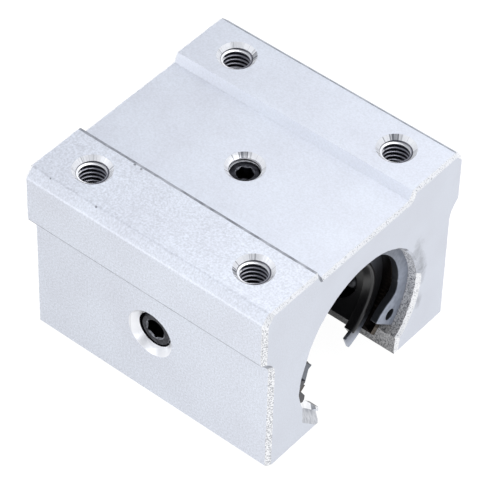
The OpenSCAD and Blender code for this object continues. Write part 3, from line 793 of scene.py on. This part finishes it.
blend_centre_r = clip_inner_r - lug_blend_r
blend_turn = degrees(acos((blend_centre_r ** 2 + lug_centre_r ** 2 - (lug_blend_r + lug_r) ** 2)
                          / (2 * blend_centre_r * lug_centre_r)))
blend_angle = lug_angle + blend_turn
lug_centre = polar(lug_centre_r, lug_angle)
blend_centre = polar(blend_centre_r, blend_angle)
end_turn = radians(lug_angle - clip_gap_half_angle)
end_r = lug_centre_r * cos(end_turn) - sqrt(lug_r ** 2 - (lug_centre_r * sin(end_turn)) ** 2)
end_point = polar(end_r, clip_gap_half_angle)
to_blend = (blend_centre[0] - lug_centre[0], blend_centre[1] - lug_centre[1])
to_end = (end_point[0] - lug_centre[0], end_point[1] - lug_centre[1])
clip_half = (
    [polar(clip_r, clip_gap_half_angle)]
    + arc(lug_centre, lug_r, angle_of(*to_end), angle_of(*to_blend), 8)
    + arc(blend_centre, lug_blend_r, angle_of(-to_blend[0], -to_blend[1]), blend_angle, 8)[1:]
    + arc((0, 0), clip_inner_r, blend_angle, 180, 3)[1:]
)
clip_outline = (
    clip_half
    + [(y, -z) for y, z in reversed(clip_half[:-1])]
    + arc((0, 0), clip_r, 360 - clip_gap_half_angle, clip_gap_half_angle, 3)[1:-1]
)
nipped_edge = [(-10.5, 0), (-8.83, -1.72), (-9.59, -2.04), (-10.22, -4.34), (-11.51, -4.88)]
slimmed_edge = [(11.2, -0.2), (11.1, -1.4), (10.7, -2.3), (9.9, -3.0), (8.7, -3.5), (7.3, -4.5), (6.3, -5.6), (4, -5.6),
                (4, -0.2)]
for name, node_name, end, turn, whole_lugs in (("front_circlip_dressed", "front_circlip", 1, -8.5, (1,)),
                                               ("rear_circlip_dressed", "rear_circlip", -1, 0, (-1, 1))):
    strip = bmesh.new()
    prism(strip, clip_outline, clip_in, clip_t)
    clip = piece(name, strip, clip_steel)
    punches = bmesh.new()
    for side in whole_lugs:
        hole_y, hole_z = polar(lug_hole_r, side * lug_angle)
        bmesh.ops.create_cone(punches, cap_ends=True, segments=32, radius1=lug_hole_radius, radius2=lug_hole_radius,
                              depth=3 * clip_t,
                              matrix=Matrix.Translation((clip_in, hole_y, hole_z)) @ Matrix.Rotation(pi / 2, 4, "Y"))
    combine(clip, piece("punches", punches, clip_steel))
    clip.data.transform(Matrix.Rotation(radians(slot_middle + turn), 4, "X"))
    if end < 0:
        clip.data.transform(Matrix.Scale(-1, 4, (1, 0, 0)))
        clip.data.flip_normals()
    else:
        nipper = bmesh.new()
        prism(nipper, nipped_edge + [(-11.9, -9), (-5, -9), (-5, 3), (-10, 3)], clip_in - 1, clip_t + 2)
        prism(nipper, slimmed_edge, clip_in - 1, clip_t + 2)
        combine(clip, piece("nipper", nipper, clip_steel))
    soften(clip, 0.12)
    smooth(clip)
    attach(clip, "block")
    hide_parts(node_name)


# Bush: a hardened and ground steel shell, oiled, round a moulded plastic cage
def swept(bm, section, start, stop, steps=96):
    """A closed section, given as X and radius, carried round the shaft from one angle to another."""
    face = bm.faces.new([bm.verts.new((x, radius * cos(radians(start)), radius * sin(radians(start))))
                         for x, radius in section])
    bmesh.ops.spin(bm, geom=[face] + list(face.edges) + list(face.verts), cent=(0, 0, 0), axis=(1, 0, 0),
                   angle=radians(stop - start), steps=steps)
    bmesh.ops.holes_fill(bm, edges=[edge for edge in bm.edges if edge.is_boundary])


shell_steel, place = new_material("ground_bearing_steel")
oil = add(shell_steel, "TexNoise", {"Vector": place, "Scale": 1 / (3 * MM), "Detail": 3.0})
shell_place = add(shell_steel, "SeparateXYZ", {"Vector": place})
from_centre = add(shell_steel, "Math", {0: shell_place.outputs["X"]}, operation="ABSOLUTE")
at_end = add(shell_steel, "MapRange", {"Value": from_centre.outputs["Value"], "From Min": 19.1 * MM,
                                       "From Max": 19.2 * MM, "To Min": 0, "To Max": 0.5})
# Painted highlight: the shell's end face is made lighter on its right-hand side, by the slot
at_right = add(shell_steel, "MapRange", {"Value": shell_place.outputs["Y"], "From Min": -2 * MM, "From Max": 2 * MM})
oil_and_painted_end_highlight = add(shell_steel, "Math", {0: at_end.outputs["Result"], 1: at_right.outputs["Result"],
                                   2: oil.outputs["Fac"]}, operation="MULTIPLY_ADD")
oil_and_highlight_tone = add(shell_steel, "ValToRGB", {"Fac": oil_and_painted_end_highlight.outputs["Value"]},
               stops=[(0.3, "2A241F"), (0.7, "554C44"), (1.0, "9C8E7C")])
surface(shell_steel, Base_Color=oil_and_highlight_tone.outputs["Color"], Metallic=1.0, Roughness=0.20)

cage_plastic, place = new_material("moulded_acetal")
mould = add(cage_plastic, "TexNoise", {"Vector": place, "Scale": 1 / (0.5 * MM), "Detail": 3.0})
mould_bump = add(cage_plastic, "Bump", {"Height": mould.outputs["Fac"], "Strength": 0.2, "Distance": 0.02 * MM})
surface(cage_plastic, Base_Color=linear("121214"), Roughness=0.38, IOR=1.48, Normal=mould_bump.outputs["Normal"])

# Nitrile rubber: black with a faint sheen, as the oil keeps its moulded skin wet
rubber, place = new_material("moulded_nitrile_rubber")
bloom = add(rubber, "TexNoise", {"Vector": place, "Scale": 1 / (0.8 * MM), "Detail": 3.0})
bloom_bump = add(rubber, "Bump", {"Height": bloom.outputs["Fac"], "Strength": 0.25, "Distance": 0.03 * MM})
surface(rubber, Base_Color=linear("141416"), Roughness=0.3, IOR=1.52, Normal=bloom_bump.outputs["Normal"])

# Polished strip, toned by height: painted light low down at its free end, painted shade where it lies inside the shell,
# mid grey at the top
ring_steel, place = new_material("polished_steel_strip_painted_light_and_shade")
film = add(ring_steel, "TexNoise", {"Vector": place, "Scale": 1 / (2 * MM), "Detail": 3.0})
ring_place = add(ring_steel, "SeparateXYZ", {"Vector": place})
ring_height = add(ring_steel, "MapRange", {"Value": ring_place.outputs["Z"], "From Min": -12 * MM, "From Max": 12 * MM})
film_and_painted_light = add(ring_steel, "Math", {0: film.outputs["Fac"], 1: 0.06, 2: ring_height.outputs["Result"]},
              operation="MULTIPLY_ADD")
strip_light_and_shade_tone = add(ring_steel, "ValToRGB", {"Fac": film_and_painted_light.outputs["Value"]},
                stops=[(0.12, "A2A8B6"), (0.24, "34363B"), (0.55, "34363B"), (0.85, "747985")])
surface(ring_steel, Base_Color=strip_light_and_shade_tone.outputs["Color"], Metallic=0.6, Roughness=0.30)

# Lapped balls: a mirror finish under a film of dark grease, patchy where they roll
ball_chrome, place = new_material("greased_chrome_steel")
grease = add(ball_chrome, "TexNoise", {"Vector": place, "Scale": 1 / (1.2 * MM), "Detail": 2.0})
greased = add(ball_chrome, "MapRange", {"Value": grease.outputs["Fac"], "To Min": 0.40, "To Max": 0.60})
surface(ball_chrome, Base_Color=linear("4C4D50"), Metallic=1.0, Roughness=greased.outputs["Result"])

ring_turn = slot_middle - 14.5
ring_gap_half_angle = 35.0
ring_start = ring_turn + ring_gap_half_angle
ring_stop = ring_turn + 360 - ring_gap_half_angle
ring_in = 16.9
ring_out = 17.5
ring_inner_r = 8.98
ring_outer_r = 11.57
seal_in = 16.42
seal_flange_out = 16.87
seal_outer_r = 10.77
lip_r = 8.05
lip_outer_r = 8.95
lip_out = 18.1
lip_middle_r = (lip_r + lip_outer_r) / 2
ring_section = [(ring_in, ring_inner_r), (ring_out, ring_inner_r), (ring_out, ring_outer_r), (ring_in, ring_outer_r)]
lip_round = lip_middle_r - lip_r
lip_nose = arc((lip_out - lip_round, lip_middle_r), lip_round, -90, 90, 18)
seal_section = ([(seal_in, lip_r)] + lip_nose
                + [(seal_flange_out, lip_outer_r), (seal_flange_out, seal_outer_r), (seal_in, seal_outer_r)])
shrunk_back = 9.0
for end, end_name in ((1, "front"), (-1, "rear")):
    for kind, section, material, slot, edge, back in (
            ("end_ring", ring_section, ring_steel, "spring_steel", 0.1, 0),
            ("seal", seal_section, rubber, "seal_rubber", 0.08, shrunk_back)):
        strip = bmesh.new()
        swept(strip, section, ring_start + back, ring_stop)
        if end < 0:
            bmesh.ops.scale(strip, vec=(-1, 1, 1), verts=strip.verts)
        ring = piece(end_name + "_" + kind + "_dressed", strip, material)
        soften(ring, edge)
        smooth(ring)
        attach(ring, "block")
        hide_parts(end_name + "_" + kind)

# The left edge of the slot in the shell and the cage lies further back than in the plain form
slot_left = -140.0
for node_name, slot, material in (("bush_shell", "bearing_steel", shell_steel),
                                  ("ball_cage", "cage_plastic", cage_plastic)):
    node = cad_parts[node_name]
    plain = bmesh.new()
    plain.from_mesh(node.data)
    bmesh.ops.transform(plain, matrix=Matrix.Scale(1 / MM, 4) @ node.matrix_world, verts=plain.verts)
    bmesh.ops.remove_doubles(plain, verts=plain.verts, dist=1e-4)
    part = piece(node_name + "_dressed", plain, material)
    slitter = bmesh.new()
    prism(slitter, [(0, 0), polar(20, slot_left), polar(20, -125), polar(20, -110)], -block_l / 2, block_l)
    combine(part, piece("slitter", slitter, material))
    smooth(part)
    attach(part, "block")
    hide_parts(node_name)

for row in ("loaded_balls_", "return_balls_"):
    for index in range(1, 5):
        for material_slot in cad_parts[row + str(index)].material_slots:
            material_slot.material = ball_chrome
